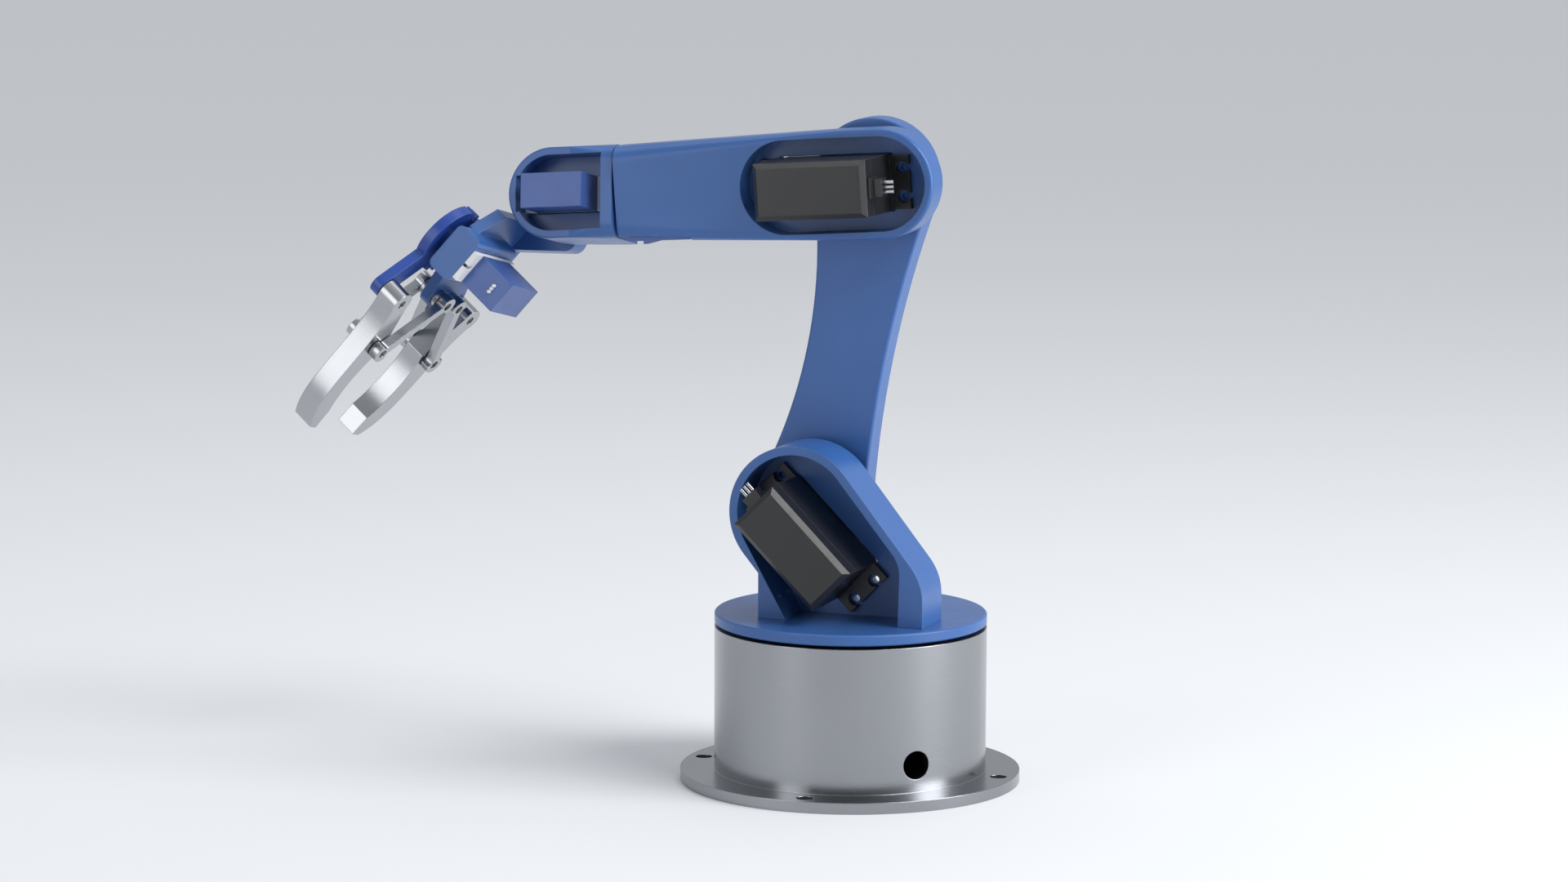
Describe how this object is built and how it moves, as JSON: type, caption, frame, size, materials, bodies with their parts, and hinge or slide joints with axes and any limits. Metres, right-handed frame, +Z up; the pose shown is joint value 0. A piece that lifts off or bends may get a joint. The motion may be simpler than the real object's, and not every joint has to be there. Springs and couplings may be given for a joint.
{
  "type": "robot arm",
  "caption": "Desktop robot arm on a round flanged base, with servo joints from waist to wrist and a geared parallel gripper with slim fingers.",
  "frame": {"origin": "centre of the base's underside, on the waist axis", "axes": "+Z up along the waist axis, the gripper reaches towards -X, the servos' undersides face -Y"},
  "size_m": [0.253, 0.12, 0.2341],
  "materials": {
    "brushed_aluminium": "brushed, satin",
    "blue_frame": "blue anodised, satin",
    "blue_gear": "deep blue anodised, satin",
    "black_plastic": "matt",
    "blue_plastic": "semi-gloss",
    "white_plastic": "satin",
    "bright_steel": "bright"
  },
  "bodies": {
    "base": {"base_housing": "brushed_aluminium", "waist_servo_lower_case": "black_plastic", "waist_servo_middle_case": "black_plastic", "waist_servo_top_case": "black_plastic", "waist_servo_screws": "bright_steel"},
    "waist": {"waist_output_shaft": "bright_steel", "waist_horn": "bright_steel", "turntable": "blue_frame", "pedestal": "blue_frame", "pedestal_screws": "bright_steel", "shoulder_servo_lower_case": "black_plastic", "shoulder_servo_middle_case": "black_plastic", "shoulder_servo_top_case": "black_plastic", "shoulder_servo_lead_block": "black_plastic", "shoulder_servo_pins": "bright_steel"},
    "upper_arm": {"upper_arm": "blue_frame", "shoulder_output_shaft": "bright_steel", "shoulder_horn": "bright_steel", "elbow_output_shaft": "bright_steel", "elbow_horn": "bright_steel", "horn_screws": "bright_steel"},
    "forearm": {"forearm": "blue_frame", "elbow_servo_lower_case": "black_plastic", "elbow_servo_middle_case": "black_plastic", "elbow_servo_top_case": "black_plastic", "elbow_servo_lead_block": "black_plastic", "elbow_servo_pins": "bright_steel", "roll_servo_lower_case": "blue_plastic", "roll_servo_ear_plate": "white_plastic", "roll_servo_top_case": "blue_plastic"},
    "wrist": {"yoke": "blue_frame", "roll_output_shaft": "bright_steel", "roll_horn": "white_plastic", "pitch_servo_lower_case": "blue_plastic", "pitch_servo_ear_plate": "white_plastic", "pitch_servo_top_case": "blue_plastic", "pitch_servo_pins": "white_plastic"},
    "gripper": {"gripper_base": "blue_frame", "pitch_output_shaft": "bright_steel", "pitch_horn": "white_plastic", "grip_servo_lower_case": "blue_plastic", "grip_servo_ear_plate": "white_plastic", "grip_servo_top_case": "blue_plastic", "grip_servo_pins": "white_plastic", "driven_gear_pin": "bright_steel", "nose_pins": "bright_steel", "nose_bushes": "brushed_aluminium"},
    "drive_arm": {"drive_gear_arm": "blue_gear", "grip_output_shaft": "bright_steel", "drive_rear_pin": "bright_steel"},
    "driven_arm": {"driven_gear_arm": "blue_gear", "driven_rear_pin": "bright_steel"},
    "drive_links": {"drive_link_front": "brushed_aluminium", "drive_link_back": "brushed_aluminium"},
    "driven_links": {"driven_link_front": "brushed_aluminium", "driven_link_back": "brushed_aluminium"},
    "drive_finger": {"drive_finger": "brushed_aluminium", "drive_front_pin": "bright_steel"},
    "driven_finger": {"driven_finger": "brushed_aluminium", "driven_front_pin": "bright_steel"}
  },
  "joints": [
    {"name": "waist_turn", "type": "hinge", "parent": "base", "child": "waist", "pos_m": [0, 0, 0.058], "axis": [0, 0, 1], "range_deg": [-90, 90]},
    {"name": "shoulder_hinge", "type": "hinge", "parent": "waist", "child": "upper_arm", "pos_m": [-0.0164, 0, 0.0944], "axis": [0, 1, 0], "range_deg": [-40, 60]},
    {"name": "elbow_hinge", "type": "hinge", "parent": "upper_arm", "child": "forearm", "pos_m": [0.00691, -0.0104, 0.21211], "axis": [0, 1, 0], "range_deg": [-35, 70]},
    {"name": "wrist_roll", "type": "hinge", "parent": "forearm", "child": "wrist", "pos_m": [-0.10921, -0.0104, 0.204], "axis": [-0.9976, 0, -0.0698], "range_deg": [-90, 90]},
    {"name": "wrist_pitch", "type": "hinge", "parent": "wrist", "child": "gripper", "pos_m": [-0.10921, -0.0104, 0.204], "axis": [-0.0144, -0.9785, 0.2057], "range_deg": [-125, 33]},
    {"name": "grip_drive", "type": "hinge", "parent": "gripper", "child": "drive_arm", "pos_m": [-0.13758, -0.02683, 0.18462], "axis": [-0.7689, 0.1423, 0.6233], "range_deg": [-31, 22]},
    {"name": "grip_driven", "type": "hinge", "parent": "gripper", "child": "driven_arm", "pos_m": [-0.13722, -0.00237, 0.17948], "axis": [-0.7689, 0.1423, 0.6233], "range_deg": [-22, 31]},
    {"name": "drive_link_hinge", "type": "hinge", "parent": "gripper", "child": "drive_links", "pos_m": [-0.14968, -0.02234, 0.16867], "axis": [-0.7689, 0.1423, 0.6233], "range_deg": [-31, 22]},
    {"name": "driven_link_hinge", "type": "hinge", "parent": "gripper", "child": "driven_links", "pos_m": [-0.14953, -0.01256, 0.16661], "axis": [-0.7689, 0.1423, 0.6233], "range_deg": [-22, 31]},
    {"name": "drive_finger_hinge", "type": "hinge", "parent": "drive_arm", "child": "drive_finger", "pos_m": [-0.15357, -0.04726, 0.16956], "axis": [-0.7689, 0.1423, 0.6233], "range_deg": [-22, 31]},
    {"name": "driven_finger_hinge", "type": "hinge", "parent": "driven_arm", "child": "driven_finger", "pos_m": [-0.15272, 0.01071, 0.15737], "axis": [-0.7689, 0.1423, 0.6233], "range_deg": [-31, 22]}
  ],
  "couplings": [
    {"joint": "grip_driven", "follows": "grip_drive", "ratio": -1},
    {"joint": "drive_link_hinge", "follows": "grip_drive", "ratio": 1},
    {"joint": "driven_link_hinge", "follows": "grip_drive", "ratio": -1},
    {"joint": "drive_finger_hinge", "follows": "grip_drive", "ratio": -1},
    {"joint": "driven_finger_hinge", "follows": "grip_drive", "ratio": 1}
  ]
}
